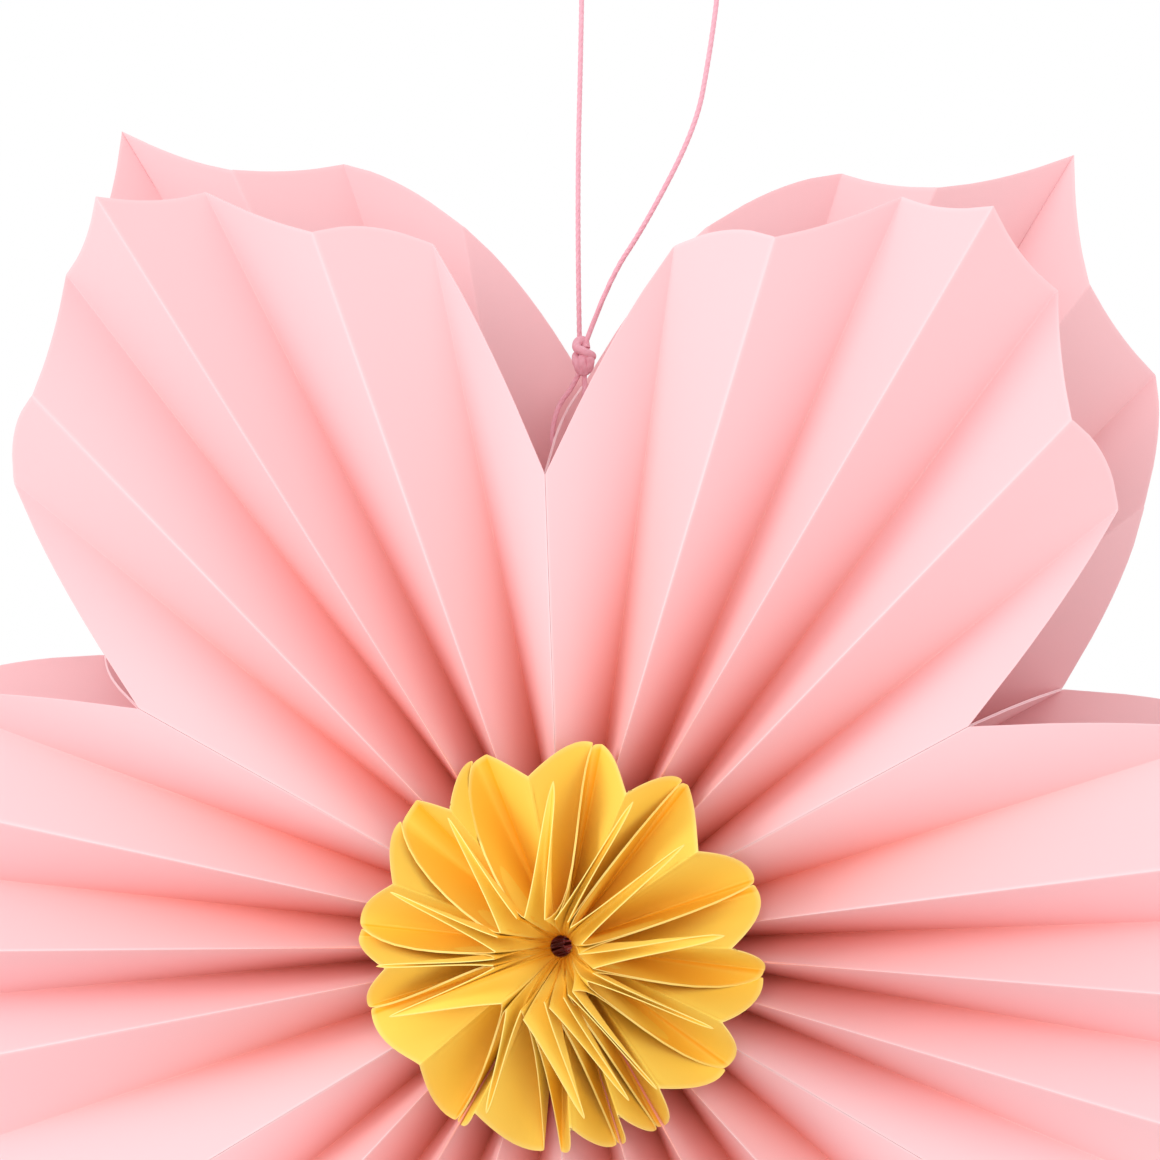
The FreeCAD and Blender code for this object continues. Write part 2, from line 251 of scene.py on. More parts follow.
cord_paper, nodes, links = new_material("cord_paper")
shader = nodes["Principled BSDF"]
shader.inputs["Roughness"].default_value = 0.75
fibre = placed(nodes, paper_fibre, "fibre", {
    "Dark": (0.82, 0.34, 0.42, 1), "Light": (0.90, 0.50, 0.58, 1), "Scale": 900})
links.new(fibre.outputs["Color"], shader.inputs["Base Color"])
add_bump(nodes, links, fibre.outputs["Height"], shader, strength=0.5, distance=0.05)
for piece, node in ((hanging_cord, "hanging_cord"), (tie_loop, "tie_loop"),
                    (cord_knot, "cord_knot")):
    piece.data.materials.clear()
    piece.data.materials.append(cord_paper)
    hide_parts(node)
    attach(piece, "root")

# ---------------------------------------------------------------- petals
# Six sheets of pink paper, each die-cut, scored and folded into a pocket with a pleated front and
# back. Their flat sides are glued to each other. The cut edge shows the paper's paler core.
PETAL_PAPER = 0.25
PETAL_MIDDLE = 13.4  # the plane midway between the petals' fronts and backs
PETAL_SIDE = 28.5  # from that plane to a flat side's edge
PETAL_HUB_RADIUS = 3
PETAL_ROWS = 48  # rows of points from the hub to the mouth
HUB_PLEAT = 21  # how deep the valleys are at the hub
# distance of each fold beyond the side's edge at the mouth, from one side to the other
MOUTH_DEPTHS = (0, -7.5, 5, -6.5, 9.5, -6.5, 5, -7.5, 0)
# how far the cut edge of each panel bows out, and that of a flat side near its front and its back
PANEL_BOWS = (3.5, 2.5, -1.0, -1.5, -1.5, -1.0, 2.5, 3.5)
SIDE_BOW_FRONT = 5.5
SIDE_BOW_BACK = 2.5
BOW_SHARE = 0.75  # how far the middle of a cut edge follows its two leans
GLUE_ROOM = 0.02
FOLD_STATIONS = (0.25, 0.6, 1.1)  # distances from a fold at which the sheet has its close columns
FOLD_SHARES = (0.06, 0.11, 0.16)  # the most that each may be of a panel's width
FOLD_FADE = (1, 0.75, 0.35, 0)  # how plainly the fold marks each of those columns, with its rubbed crest or its painted shade
FOLD_EASE = 0.4  # how far a fold's own points move in between their neighbours
PANEL_SHARES = (0.25, 0.35, 0.45, 0.55, 0.65, 0.75)  # places of a panel's other columns
MOUTH_ROWS = (1.0, 0.45, 0)  # distances from the mouth of the sheet's last rows
EDGE_ROWS = 2  # rows over which the mark of the cut edge fades
MERGE_DISTANCE = 0.001
INNER_CREST = 0.1  # how much of a valley's mark is left on the sheet's inner face
PAPER_CREASE = 70  # degrees between two faces from which their edge stays sharp

# for each petal: its middle, its folds' angles from there, and its folds' radii in front and behind
PETALS = (
    (0, (-30, -21.4, -15.8, -9.0, -4.0, 2.5, 7.5, 17.5, 28.3),
     (98, 149, 155, 173, 181, 173, 156, 150, 97.5),
     (114, 151, 171, 177, 199, 178, 172, 152, 113.4)),
    (60, (-31.7, -21.8, -14.5, -7.1, -0.9, 5.6, 12.8, 21.2, 32.1),
     (97.5, 148.5, 154.3, 172.5, 179.9, 172.9, 155.5, 149.4, 99.2),
     (113.4, 150.7, 170.9, 176.8, 198.2, 178.1, 174, 156.1, 121)),
    (120, (-27.9, -18.9, -10.7, -3.9, 1.9, 7.3, 14.3, 20.8, 31.4),
     (99.2, 151.4, 159.5, 178.2, 186.5, 179.5, 162.5, 155.5, 103.8),
     (121, 157.8, 179.6, 186.8, 209.4, 188, 180, 160, 127.8)),
    (180, (-28.6, -20.1, -12, -5.9, 0.8, 5.3, 11.1, 18.7, 31.2),
     (103.8, 154, 158, 176, 184, 176, 158, 152, 101),
     (127.8, 158, 178, 184, 203, 182, 174, 154, 117)),
    (240, (-28.8, -20.4, -13, -6.1, 0, 6.1, 13, 20.4, 30),
     (101, 151, 156, 174, 182, 174, 156, 151, 100),
     (117, 154, 174, 180, 201, 180, 174, 154, 117)),
    (300, (-30, -20.4, -13, -6.1, 0, 6.1, 13, 20.4, 30),
     (100, 150, 155, 173, 181, 173, 155, 150, 98),
     (117, 153, 173, 179, 200, 179, 173, 153, 114)),
)


def polar(angle, radius, depth):
    """A point by its angle about the hub axis, its distance from the axis and its Y."""
    turn = math.radians(angle)
    return Vector((radius * math.cos(turn), depth, radius * math.sin(turn)))


def cut_edge(start, end, share, lean_start, lean_end, hook_start=Vector(), hook_end=Vector(),
             late_start=1, late_end=1):
    """A point on a panel's die-cut edge, a curve that leans off its chord by two vectors.

    A hook is the way that the edge turns off towards its end, and late says how late it does.
    """
    start, end = start - hook_start, end - hook_end
    a = start + (end - start) / 3 + lean_start
    b = end - (end - start) / 3 + lean_end
    rest = 1 - share
    return (start * rest ** 3 + a * (3 * share * rest ** 2) + b * (3 * share ** 2 * rest)
            + end * share ** 3 + hook_start * rest ** late_start + hook_end * share ** late_end)


def folded_sheet(name, folds, leans, bends, shares, rows, paper):
    """A flat grid folded into a pocket, with the paper's thickness inside it.

    folds are (hub point, mouth point, 1 for a ridge or -1 for a valley), once round the pocket,
    leans shape the cut edge of the panel after each fold, and bends the fold lines themselves.
    """
    count = len(folds)
    stations = len(FOLD_STATIONS) * 2 + len(shares) + 1
    length = sum((mouth - hub).length for hub, mouth, _ in folds) / count
    reaches = [row / rows for row in range(rows)] + [1 - inset / length for inset in MOUTH_ROWS]
    rows = len(reaches) - 1

    def bend(panel, reach):
        """How far the fold before a panel bends off its straight line at a reach."""
        near, far = bends.get(panel % count, (Vector(), Vector()))
        return (near * (1 - reach) + far * reach) * (3 * reach * (1 - reach))

    def point(panel, share, reach):
        """A place by its share of the panel's width and its reach from hub to mouth."""
        hub_a, mouth_a, _ = folds[panel]
        hub_b, mouth_b, _ = folds[(panel + 1) % count]
        near = hub_a.lerp(hub_b, share)
        far = cut_edge(mouth_a, mouth_b, share, *leans[panel])
        return near.lerp(far, reach) + bend(panel, reach).lerp(bend(panel + 1, reach), share)

    def share_of(panel, station, reach):
        """The share of the panel's width at which a column of points stands."""
        from_fold = min(station, stations - station)
        if from_fold > len(FOLD_STATIONS):
            return shares[station - len(FOLD_STATIONS) - 1]
        if from_fold == 0:
            return 0.0 if station == 0 else 1.0
        width = (point(panel, 1, reach) - point(panel, 0, reach)).length
        share = min(FOLD_STATIONS[from_fold - 1] / width, FOLD_SHARES[from_fold - 1])
        return share if station == from_fold else 1 - share

    bpy.ops.mesh.primitive_grid_add(x_subdivisions=count * stations, y_subdivisions=rows, size=1)
    sheet = bpy.context.object
    sheet.name = name
    mesh = sheet.data
    # fold is 1 at a ridge, rubbed pale, and -1 at a valley, where painted shade lies in its groove;
    # deep is how far across a panel towards a valley, which sets where painted shade lies
    marks = {"fold": [], "deep": [], "reach": [], "edge": []}
    for vertex in mesh.vertices:
        column = round((vertex.co.x + 0.5) * count * stations)
        row = round((vertex.co.y + 0.5) * rows)
        reach = reaches[row]
        panel, station = divmod(column, stations)
        if panel == count:
            panel, station = count - 1, stations
        share = share_of(panel, station, reach)
        place = point(panel, share, reach)
        if station in (0, stations):
            after = (panel + station // stations) % count
            before = (after - 1) % count
            here = point(after, share_of(after, 1, reach), reach)
            there = point(before, share_of(before, stations - 1, reach), reach)
            place = place.lerp((here + there) / 2, FOLD_EASE)
        kinds = folds[panel][2], folds[(panel + 1) % count][2]
        from_fold = min(station, stations - station)
        kind = kinds[0] if station == from_fold else kinds[1]
        marks["fold"].append(kind * FOLD_FADE[from_fold] if from_fold < len(FOLD_FADE) else 0)
        depths = [(1 - kind) / 2 for kind in kinds]
        marks["deep"].append(depths[0] + (depths[1] - depths[0]) * share)
        marks["reach"].append(reach)
        marks["edge"].append(max(0, row - rows + EDGE_ROWS) / EDGE_ROWS)
        vertex.co = place * MM
    for mark, values in marks.items():
        mesh.attributes.new(mark, "FLOAT", "POINT").data.foreach_set("value", values)
    bpy.ops.object.mode_set(mode="EDIT")
    bpy.ops.mesh.select_all(action="SELECT")
    bpy.ops.mesh.remove_doubles(threshold=MERGE_DISTANCE * MM)
    bpy.ops.object.mode_set(mode="OBJECT")
    wall = sheet.modifiers.new("paper", "SOLIDIFY")
    wall.thickness = paper * MM
    wall.offset = -1
    wall.use_rim = True
    wall.material_offset_rim = 1
    outer = len(mesh.vertices)
    bpy.ops.object.modifier_apply(modifier=wall.name)
    # a ridge outside is a valley inside, where little rubs it and painted shade lies in its groove;
    # the painted shade across a panel turns round there too
    for mark in ("fold", "deep"):
        values = [0.0] * len(mesh.vertices)
        mesh.attributes[mark].data.foreach_get("value", values)
        if mark == "fold":
            values[outer:] = [-value if value > 0 else -INNER_CREST * value
                              for value in values[outer:]]
        else:
            values[outer:] = [1 - value for value in values[outer:]]
        mesh.attributes[mark].data.foreach_set("value", values)
    bpy.ops.object.shade_smooth_by_angle(angle=math.radians(PAPER_CREASE))
    bpy.ops.object.select_all(action="DESELECT")
    return sheet


def petal_folds(middle, angles, radii, behind):
    """The eighteen folds of a petal, from its upper front flank round to its upper back flank."""
    folds = []
    for facing, order in ((-1, range(8, -1, -1)), (1, range(9))):
        for i in order:
            angle = middle + angles[i]
            hub_depth = PETAL_SIDE if i % 2 == 0 else PETAL_SIDE - HUB_PLEAT
            mouth_depth = PETAL_SIDE + MOUTH_DEPTHS[i]
            inwards = Vector()
            if i in (0, 8):
                aside = 90 if i == 0 else -90
                inwards = polar(angle + aside, GLUE_ROOM, 0)
            radius = radii[i] if facing < 0 else behind[i]
            folds.append((
                polar(angle, PETAL_HUB_RADIUS, PETAL_MIDDLE + facing * hub_depth) + inwards,
                polar(angle, radius, PETAL_MIDDLE + facing * mouth_depth) + inwards,
                1 if i % 2 == 0 else -1))
    return folds


petals = []
for k, (middle, angles, radii, behind) in enumerate(PETALS):
    folds = petal_folds(middle, angles, radii, behind)
    leans = []
    for flank, ends in ((middle + angles[0], (SIDE_BOW_FRONT, SIDE_BOW_BACK)),
                        (middle + angles[8], (SIDE_BOW_BACK, SIDE_BOW_FRONT))):
        for bow in PANEL_BOWS:
            start, end = folds[len(leans)][1], folds[len(leans) + 1][1]
            outward = Vector((start.x + end.x, 0, start.z + end.z)).normalized() * (bow / BOW_SHARE)
            leans.append((outward, outward))
        leans.append([polar(flank, lean, 0) for lean in ends])
    petals.append(folded_sheet(f"petal_{k + 1}_sheet", folds, leans, {}, PANEL_SHARES,
                               PETAL_ROWS, PETAL_PAPER))

# the hole punched in the two top sides for the cord: the punch goes across both, square to them
HOLE_RADIUS = 1.7
HOLE_ANGLE = 92.1
HOLE_DISTANCE = 105  # from the hub axis
HOLE_DEPTH = 9.3  # the hole's Y
PUNCH_LENGTH = 2
PUNCH_SIDES = 32
RIM_REACH = 1.2  # how far the hole's rim reaches, in radii
RIM_MARKS = {"reach": 0.96, "fold": 0, "deep": 0, "edge": 0.5}
hole_middle = polar(HOLE_ANGLE, HOLE_DISTANCE, HOLE_DEPTH)
punch_axis = polar(HOLE_ANGLE + 90, 1, 0)
bpy.ops.mesh.primitive_cylinder_add(vertices=PUNCH_SIDES, radius=HOLE_RADIUS * MM,
                                    depth=PUNCH_LENGTH * MM, location=hole_middle * MM,
                                    rotation=punch_axis.to_track_quat("Z", "Y").to_euler())
punch = bpy.context.object
punch.name = "punch"
bpy.ops.object.select_all(action="DESELECT")
for petal in petals[1:3]:
    cut = petal.modifiers.new("cord_hole", "BOOLEAN")
    cut.operation = "DIFFERENCE"
    cut.solver = "FAST"
    cut.object = punch
    bpy.context.view_layer.objects.active = petal
    bpy.ops.object.modifier_apply(modifier=cut.name)
    for mark, value in RIM_MARKS.items():
        data = petal.data.attributes[mark].data
        for vertex in petal.data.vertices:
            if (vertex.co - hole_middle * MM).length < RIM_REACH * HOLE_RADIUS * MM:
                data[vertex.index].value = value
bpy.data.objects.remove(punch)


def mixed(nodes, links, first, second, factor):
    """A colour between two, each a colour or a socket."""
    mix = nodes.new("ShaderNodeMix")
    mix.data_type = "RGBA"
    for name, value in (("A", first), ("B", second)):
        if isinstance(value, tuple):
            mix.inputs[name].default_value = value
        else:
            links.new(value, mix.inputs[name])
    links.new(factor, mix.inputs["Factor"])
    return mix.outputs["Result"]


def worked(nodes, links, operation, *values):
    """The result of a Math node on numbers and sockets."""
    math_node = nodes.new("ShaderNodeMath")
    math_node.operation = operation
    for place, value in zip(math_node.inputs, values):
        if isinstance(value, (int, float)):
            place.default_value = value
        else:
            links.new(value, place)
    return math_node.outputs[0]


# how folded paper looks: painted shade towards the hub, in its valleys and along its fold lines,
# paler where a fold has rubbed and at the cut edge
HUB_FALLOFF = 2.5  # how fast the painted shade gives way outwards from the hub
PIT_SHADE = 0.75  # how much more of it a valley has there than a ridge
RIDGE_SHADE = 0.35  # how much a ridge has
# how close to a valley's fold its painted shade keeps
VALLEY_NARROWNESS = 6
CREST_START = 3  # a crest is whole from a third of the way out
CREST_FADING = 0.75  # how much of it is gone at the mouth
folded_paper, nodes, links, given, result = new_group(
    "folded_paper", (("Lit", "Color"), ("Painted Shade", "Color"), ("Crest", "Color"), ("Rub", "Float"),
                     ("Groove Shade", "Float"), ("Valley Shade", "Float"), ("Far", "Float"),
                     ("Edge", "Float")),
    (("Color", "Color"),))
marks = {}
for mark in ("fold", "deep", "reach", "edge"):
    attribute = nodes.new("ShaderNodeAttribute")
    attribute.name = mark
    attribute.attribute_name = mark
    marks[mark] = attribute.outputs["Fac"]
# painted shade towards the hub, more of it in a valley than on a ridge
inwards = worked(nodes, links, "SUBTRACT", 1, marks["reach"])
depth = worked(nodes, links, "MULTIPLY", worked(nodes, links, "POWER", inwards, HUB_FALLOFF),
               worked(nodes, links, "MULTIPLY_ADD", marks["deep"], PIT_SHADE, RIDGE_SHADE))
body = mixed(nodes, links, given.outputs["Lit"], given.outputs["Painted Shade"], depth)

# painted shade along the valleys and in the grooves of the fold lines, fading towards the mouth
# unless Far keeps it
valley = worked(nodes, links, "POWER", marks["deep"], VALLEY_NARROWNESS)
valley = worked(nodes, links, "MULTIPLY", valley, given.outputs["Valley Shade"])
groove = worked(nodes, links, "MULTIPLY", marks["fold"], -1)
groove = worked(nodes, links, "MAXIMUM", groove, 0)
groove = worked(nodes, links, "MULTIPLY", groove, given.outputs["Groove Shade"])
lasting = worked(nodes, links, "MAXIMUM", inwards, given.outputs["Far"])
crease_shade = worked(nodes, links, "MAXIMUM", valley, groove)
crease_shade = worked(nodes, links, "MULTIPLY", crease_shade, lasting)
body = mixed(nodes, links, body, given.outputs["Painted Shade"], crease_shade)

crest = worked(nodes, links, "MULTIPLY", marks["fold"], given.outputs["Rub"])
starting = worked(nodes, links, "MULTIPLY", marks["reach"], CREST_START)
starting = worked(nodes, links, "MINIMUM", starting, 1)
crest = worked(nodes, links, "MULTIPLY", crest, starting)
fading = worked(nodes, links, "MULTIPLY", marks["reach"], CREST_FADING)
fading = worked(nodes, links, "SUBTRACT", 1, fading)
crest = worked(nodes, links, "MULTIPLY", crest, fading)
cut = worked(nodes, links, "MULTIPLY", marks["edge"], given.outputs["Edge"])
crest = worked(nodes, links, "MAXIMUM", crest, cut)
crest = worked(nodes, links, "MAXIMUM", crest, 0)
links.new(mixed(nodes, links, body, given.outputs["Crest"], crest), result.inputs["Color"])


def paper_material(name, lit, deep, crest, core, rub, groove, valley, far, edge, grain_scale):
    """Coloured paper and the paler fibres of its cut edge.

    lit, deep, crest and core are its colours, deep being a painted shade. rub is how pale its
    ridges are, groove and valley how much painted shade lies along its fold lines and in its
    valleys, far how much of that lasts to the mouth, and edge how pale it is beside the cut.
    """
    material, nodes, links = new_material(name)
    shader = nodes["Principled BSDF"]
    shader.inputs["Roughness"].default_value = 0.6
    shader.inputs["Specular IOR Level"].default_value = 0.3
    paper = placed(nodes, folded_paper, "paper", {
        "Lit": lit, "Painted Shade": deep, "Crest": crest, "Rub": rub, "Groove Shade": groove, "Valley Shade": valley,
        "Far": far, "Edge": edge})
    links.new(paper.outputs["Color"], shader.inputs["Base Color"])
    grain = placed(nodes, paper_fibre, "grain", {"Scale": grain_scale})
    add_bump(nodes, links, grain.outputs["Height"], shader, strength=0.15, distance=0.05)
    rim, nodes, links = new_material(name + "_cut_edge")
    shader = nodes["Principled BSDF"]
    shader.inputs["Roughness"].default_value = 0.8
    fibre = placed(nodes, paper_fibre, "fibre", {"Dark": core, "Light": crest, "Scale": 1500})
    links.new(fibre.outputs["Color"], shader.inputs["Base Color"])
    add_bump(nodes, links, fibre.outputs["Height"], shader, strength=0.3, distance=0.05)
    return material, rim


# deep is painted shade: the red-orange that the pleats take towards the hub and in their valleys
pink_paper, pink_edge = paper_material(
    "pink_paper", lit=(0.93, 0.57, 0.595, 1), deep=(1.0, 0.27, 0.13, 1),
    crest=(1.0, 0.82, 0.84, 1), core=(1.0, 0.76, 0.78, 1),
    rub=0.8, groove=0.5, valley=0.4, far=0, edge=0.2, grain_scale=1400)
for k, petal in enumerate(petals):
    petal.data.materials.append(pink_paper)
    petal.data.materials.append(pink_edge)
    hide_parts(f"petal_{k + 1}")
    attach(petal, "root")

# ---------------------------------------------------------------- yellow centre
# Thirteen small pockets of thinner yellow paper, folded by hand and glued side to side, so no two
# are alike. Their cut edges are the thin pale lines of the centre.
CENTRE_PAPER = 0.2
CENTRE_BASE = -15.4  # Y of the base, which lies on the pink petals. Heights go forwards from it
CENTRE_HUB_RADIUS = 2.4
LOBE_RADIUS = 43.3
POCKET_ROWS = 26  # rows of points from the hub to the mouth
CROWN_HEIGHT = 36
NOTCH_HEIGHT = 19.8
LEAF_HEIGHT = 23.2
# heights at the hub of the folds that end at the crown, the leaf's tip and the notch
CROWN_HUB = 15.5
LEAF_HUB = 14.5
NOTCH_HUB = 1
HUB_SHIFT = Vector((2.5, 0, 0.5))  # how far the hub of the first two stands aside
SEAM_ROOM = 0.01
CROWN_LATE = 14  # how late a side's edge turns off to its corners, at the crown and at the lobes
LOBE_LATE = 120
# how a side's edge leaves the crown, outwards and back, and how far in from the lobes it comes down
SIDE_FALL = (3.8, 14.2)
SIDE_RUN = 9
SIDE_RISE = 1.6  # height over the base near the lobes of a side that stands upright
FREE_LEAN = 2  # past this lean near the lobes, a side rises by the rest of it, this many times
LEAN_RISE = 2
PARTING_BENDS = (-3, -1.5)  # the parts of its parting by which a crown fold bends back
# how a leaf's fold bends, outwards and back, near the hub and near its tip
LEAF_BENDS = ((-9.6, -14.3), (-10.8, -11.5))
BLADE_HOLLOW = 0.7  # how far a leaf's edges draw in
BLADE_TIP = 3  # how long its round tip is
# how a lobe's edge leaves the seam, as a share of its width and outwards, and how it meets the
# notch, outwards and back, and as a share of its width
LOBE_RUN = 0.5
LOBE_BULGE = 1
NOTCH_FALL = (3.5, 6)
NOTCH_RUN = 0.3
POCKET_SHARES = (0.05, 0.1, 0.17, 0.26, 0.38, 0.5, 0.62, 0.74, 0.83, 0.9, 0.95)

# each seam, clockwise: where it meets the base before and after the glue, as angles, the two crown
# corners there, as X and Z from the hub axis, how far its edge leans anticlockwise near the crown
# and near the lobes, and how far from it the base folds before and after it end
SEAMS = (
    (115.8, 115.8, (-3.4, 7.1), (-1.6, 7.1), (3.5, 7), 0.3, 3),
    (80.9, 80.9, (2.5, 6.7), (4.7, 6.7), (-3.7, 2.5), 0.2, 1.8),
    (53.4, 53.4, (7.3, 6.3), (7.9, 5.1), (2.5, 1.3), 0.2, 1.4),
    (18.2, 18.2, (10.1, 1.8), (9.6, -0.3), (0.1, -2.6), 0.6, 1.6),
    (-8.1, -8.1, (12.5, -3.1), (12.5, -4.1), (-0.3, -6.9), 1.2, 0.3),
    (-36.1, -36.1, (11.5, -5.6), (8.2, -7.8), (0.1, -5.8), 0.8, 0.3),
    (-61.8, -61.8, (7.4, -8.4), (6.4, -9.1), (-1, -1), 0.8, 0.3),
    (-74, -74, (3.5, -11.1), (2.4, -10), (0.5, -1), 0.6, 0.3),
    (-90.3, -94.8, (-1.9, -13.6), (-2.4, -11.7), (1, -1), 0.3, 0.3),
    (-121.4, -121.4, (-5.4, -11.9), (-6.4, -10.4), (-1.5, 1.5), 0.6, 0.3),
    (-162, -162, (-7.9, -3.2), (-8.1, -2.6), (-2.3, 1.9), 1.4, 0.3),
    (-185.2, -185.2, (-7.9, -1.4), (-7.6, 0.2), (-0.2, 6.1), 2, 0.3),
    (-217.4, -217.4, (-7.3, 3.1), (-6.6, 4.1), (3.1, 7.1), 0.3, 5.4),
)
# the pocket after each seam: its leaf's tip and its notch, as X and Z, how round the tip is, and
# how round the lobe after the seam is
LEAVES = (
    ((2.2, 35.2), (-3.7, 36), 1.1, 0.1), ((19, 31), (17, 32.6), 0.8, 0.4),
    ((29.8, 22.1), (32.1, 20.6), 0.6, 0.2), ((38.2, 3.3), (39.1, 0.5), 1.3, 1),
    ((35.8, -16), (37.1, -14.8), 0.5, 1), ((24, -28.7), (24, -28.6), 0.5, 1),
    ((18.1, -31.1), (15.2, -34.1), 0.5, 1), ((8.7, -34.9), (5.2, -36.9), 0.6, 1),
    ((-12, -34), (-15, -34.1), 0.6, 1), ((-32.5, -14.1), (-26.7, -24.2), 0.3, 1),
    ((-35.3, -3.6), (-34.1, -4.2), 0.6, 1), ((-32.4, 11.9), (-32.4, 13.5), 0.4, 1),
    ((-20.2, 27.5), (-20.3, 29.1), 0.3, 0.1),
)


def centre_fold(hub_angle, hub_height, tip, height, kind):
    """A fold from the hub's rim to a tip, both at heights over the base."""
    hub = polar(hub_angle, CENTRE_HUB_RADIUS, CENTRE_BASE - hub_height)
    if hub_height > NOTCH_HUB:
        hub += HUB_SHIFT
    return hub, Vector((tip.x, CENTRE_BASE - height, tip.z)), kind


def at_height(place, height):
    """A place given as X and Z, at a height over the base."""
    return Vector((place[0], CENTRE_BASE - height, place[1]))


def leans_through(start, end, first, second):
    """The leans that give a cut edge its two control points."""
    third = (end - start) / 3
    return first - start - third, second - end + third


centre_petals = []
for k, (leaf_tip, notch_place, roundness, fullness) in enumerate(LEAVES):
    _, upper_foot, other_upper, upper_crown, upper_lean, _, upper_corner = SEAMS[k]
    next_seam = SEAMS[(k + 1) % len(SEAMS)]
    lower_foot, _, lower_crown, other_lower, lower_lean, lower_corner, _ = next_seam
    if k == len(SEAMS) - 1:
        lower_foot -= 360
    middle = (upper_foot + lower_foot) / 2
    leaf = at_height(leaf_tip, LEAF_HEIGHT)
    leaf_angle = math.degrees(math.atan2(leaf.z, leaf.x))
    notch = at_height(notch_place, NOTCH_HEIGHT)
    up, down = polar(upper_foot - 90, 1, 0), polar(lower_foot + 90, 1, 0)
    lower_end, upper_end = polar(lower_foot, LOBE_RADIUS, 0), polar(upper_foot, LOBE_RADIUS, 0)
    folds = [
        centre_fold(upper_foot, CROWN_HUB, at_height(upper_crown, 0), CROWN_HEIGHT, 1),
        centre_fold(middle, LEAF_HUB, leaf, LEAF_HEIGHT, -1),
        centre_fold(lower_foot, CROWN_HUB, at_height(lower_crown, 0), CROWN_HEIGHT, 1),
        centre_fold(lower_foot, 0, lower_end + down * lower_corner, 0, 1),
        centre_fold(middle, NOTCH_HUB, notch, NOTCH_HEIGHT, -1),
        centre_fold(upper_foot, 0, upper_end + up * upper_corner, 0, 1),
    ]
    from_upper, from_lower = up * SEAM_ROOM, down * SEAM_ROOM
    shifts = (from_upper, Vector(), from_lower, from_lower, Vector(), from_upper)
    folds = [(hub + shift, mouth + shift, kind)
             for (hub, mouth, kind), shift in zip(folds, shifts)]
    # two sides touch all along their seam. Their edges fall in an S from the crown to the lobes,
    # and part only at their ends
    sides = []
    bends = {1: [polar(leaf_angle, out, back) for out, back in LEAF_BENDS]}
    for crown, base, foot, lean, turn, corner, own, other in (
            (2, 3, lower_foot, lower_lean, down, lower_corner, lower_crown, other_lower),
            (0, 5, upper_foot, upper_lean, up, upper_corner, upper_crown, other_upper)):
        parting = (at_height(own, 0) - at_height(other, 0)) / 2
        bends[crown] = [parting / part for part in PARTING_BENDS]
        start, end = folds[crown][1] - parting, folds[base][1] - turn * corner
        first = start + polar(foot, *SIDE_FALL) + polar(foot + 90, lean[0], 0)
        rise = SIDE_RISE + LEAN_RISE * max(0, lean[1] - FREE_LEAN)
        second = end + polar(foot, -SIDE_RUN, -rise) + polar(foot + 90, lean[1], 0)
        sides.append((*leans_through(start, end, first, second), parting, turn * corner,
                      CROWN_LATE, LOBE_LATE))
    # a lobe leaves its seam square to it and drops into the notch
    lobes = []
    for foot, turn, lobe, full in ((lower_foot, down, folds[3][1], 1),
                                   (upper_foot, up, folds[5][1], fullness)):
        width = abs((notch - lobe).dot(turn))
        lobe_leans = leans_through(
            lobe, notch, lobe + turn * LOBE_RUN * width + polar(foot, LOBE_BULGE, 0),
            notch + polar(middle, *NOTCH_FALL) - turn * NOTCH_RUN * width)
        lobes.append([lean * full for lean in lobe_leans])
    # the leaf's edges run side by side to a narrow round tip
    blades = []
    for crown, turn in ((0, 90), (2, -90)):
        start = folds[crown][1]
        along, across = (leaf - start).normalized(), polar(leaf_angle + turn, 1, 0)
        length = (leaf - start).length
        blades.append(leans_through(
            start, leaf, start + along * length / 3 - across * BLADE_HOLLOW,
            leaf - along * BLADE_TIP + across * roundness))
    leans = [blades[0], blades[1][::-1], sides[0], lobes[0], lobes[1][::-1],
             (sides[1][1], sides[1][0], sides[1][3], sides[1][2], LOBE_LATE, CROWN_LATE)]
    centre_petals.append(folded_sheet(f"centre_petal_{k + 1:02d}_sheet", folds, leans, bends,
                                      POCKET_SHARES, POCKET_ROWS, CENTRE_PAPER))

# deep is painted shade: orange towards the hub, in the valleys and in the fold grooves, all the way
# to the mouth
yellow_paper, yellow_edge = paper_material(
    "yellow_paper", lit=(1.0, 0.72, 0.12, 1), deep=(1.0, 0.46, 0.008, 1),
    crest=(1.0, 0.88, 0.36, 1), core=(1.0, 0.90, 0.42, 1),
    rub=0.5, groove=1, valley=0.4, far=1, edge=0.5, grain_scale=1800)
for k, pocket in enumerate(centre_petals):
    pocket.data.materials.append(yellow_paper)
    pocket.data.materials.append(yellow_edge)
    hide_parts(f"centre_petal_{k + 1:02d}")
    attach(pocket, "root")

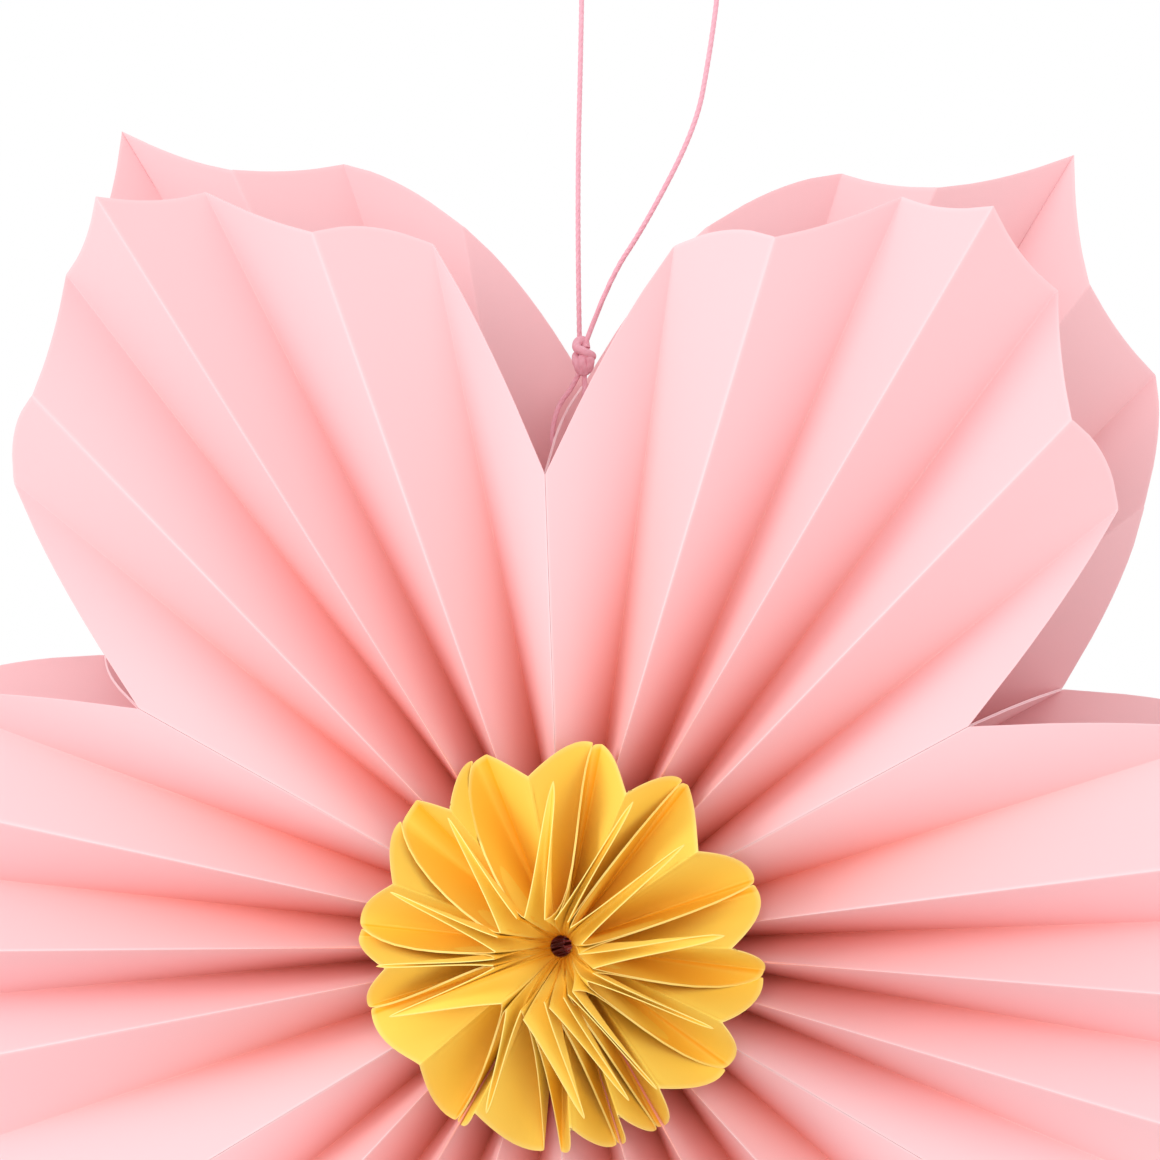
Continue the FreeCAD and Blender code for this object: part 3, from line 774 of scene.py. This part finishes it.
# ---------------------------------------------------------------- floor, light and background
# A pale floor under the lowest petal, a soft lamp at the upper left and weaker ones in front and on
# the right. The world is white where the camera sees it, and a little less where it lights paper.
FLOOR_SIZE = 1200
FLOOR_GAP = 0.5  # under the lowest point
AMBIENT = 0.86
WHITE = (1, 1, 1, 1)
bpy.ops.mesh.primitive_plane_add(size=FLOOR_SIZE * MM,
                                 location=(0, 0, cad_box[0].z - FLOOR_GAP * MM))
floor = bpy.context.object
floor.name = "floor"
floor_paint, nodes, _ = new_material("floor_paint")
nodes["Principled BSDF"].inputs["Base Color"].default_value = (0.86, 0.86, 0.86, 1)
nodes["Principled BSDF"].inputs["Roughness"].default_value = 0.8
floor.data.materials.append(floor_paint)
bpy.ops.object.select_all(action="DESELECT")


def soft_lamp(name, place, size, power):
    """A square area lamp that faces the flower's middle."""
    place = Vector(place)
    bpy.ops.object.light_add(type="AREA", location=place,
                             rotation=place.to_track_quat("Z", "Y").to_euler())
    lamp = bpy.context.object
    lamp.name = name
    lamp.data.shape = "SQUARE"
    lamp.data.size = size
    lamp.data.energy = power
    lamp.select_set(False)


soft_lamp("key_lamp", (-1.4, -1.0, 0.7), size=0.8, power=10.5)
soft_lamp("front_lamp", (0.1, -1.8, 0.35), size=1.0, power=5.5)
soft_lamp("fill_lamp", (1.6, -0.9, 0.4), size=1.2, power=4)

world = bpy.data.worlds.new("studio")
bpy.context.scene.world = world
world.use_nodes = True
nodes, links = world.node_tree.nodes, world.node_tree.links
rays = nodes.new("ShaderNodeLightPath")
shown = worked(nodes, links, "MAXIMUM", rays.outputs["Is Camera Ray"],
               rays.outputs["Is Glossy Ray"])
shown = worked(nodes, links, "MAXIMUM", shown, rays.outputs["Is Transmission Ray"])
ambient = nodes.new("ShaderNodeBackground")
ambient.inputs["Color"].default_value = WHITE
ambient.inputs["Strength"].default_value = AMBIENT
backdrop = nodes["Background"]
backdrop.inputs["Color"].default_value = WHITE
backdrop.inputs["Strength"].default_value = 1
chosen = nodes.new("ShaderNodeMixShader")
links.new(shown, chosen.inputs[0])
links.new(ambient.outputs[0], chosen.inputs[1])
links.new(backdrop.outputs[0], chosen.inputs[2])
links.new(chosen.outputs[0], nodes["World Output"].inputs["Surface"])
bpy.context.scene.view_settings.view_transform = "Standard"
